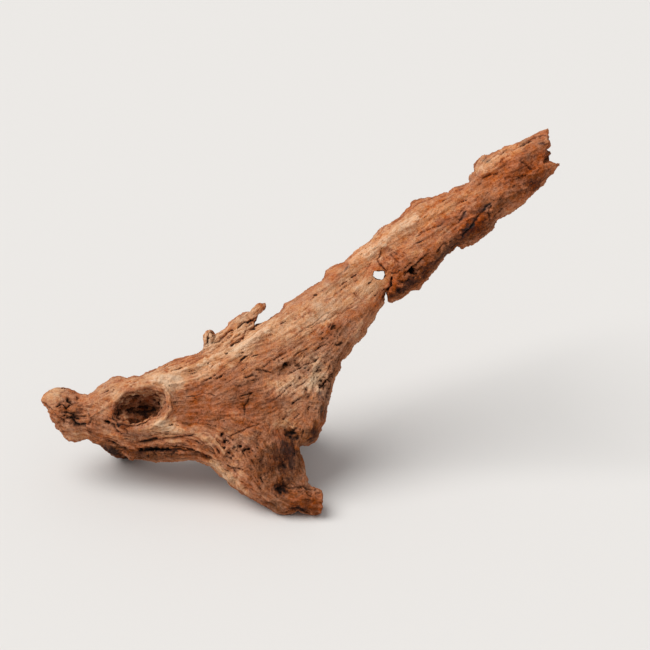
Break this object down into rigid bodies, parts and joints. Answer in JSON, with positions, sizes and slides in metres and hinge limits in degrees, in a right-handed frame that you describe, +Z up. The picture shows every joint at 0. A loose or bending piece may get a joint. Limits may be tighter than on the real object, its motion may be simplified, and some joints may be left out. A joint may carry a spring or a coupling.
{
  "type": "driftwood",
  "caption": "Weathered root stump with a long broken arm, a knot hollow and a short side twig, standing on its roots.",
  "frame": {"origin": "bottom centre of the bounding box, on the ground", "axes": "+Z up, +X to the right along the arm, +Y to the back"},
  "size_m": [0.5262, 0.2136, 0.3478],
  "materials": {
    "weathered_wood": "matte, sand-worn, open grain",
    "dark_wood": "matte, dark and damp-stained"
  },
  "bodies": {
    "root": {"stump": "weathered_wood", "long_limb": "weathered_wood", "nose_root": "weathered_wood", "foot_root": "weathered_wood", "rear_left_root": "dark_wood", "rear_root": "dark_wood", "twig": "weathered_wood"}
  },
  "joints": []
}
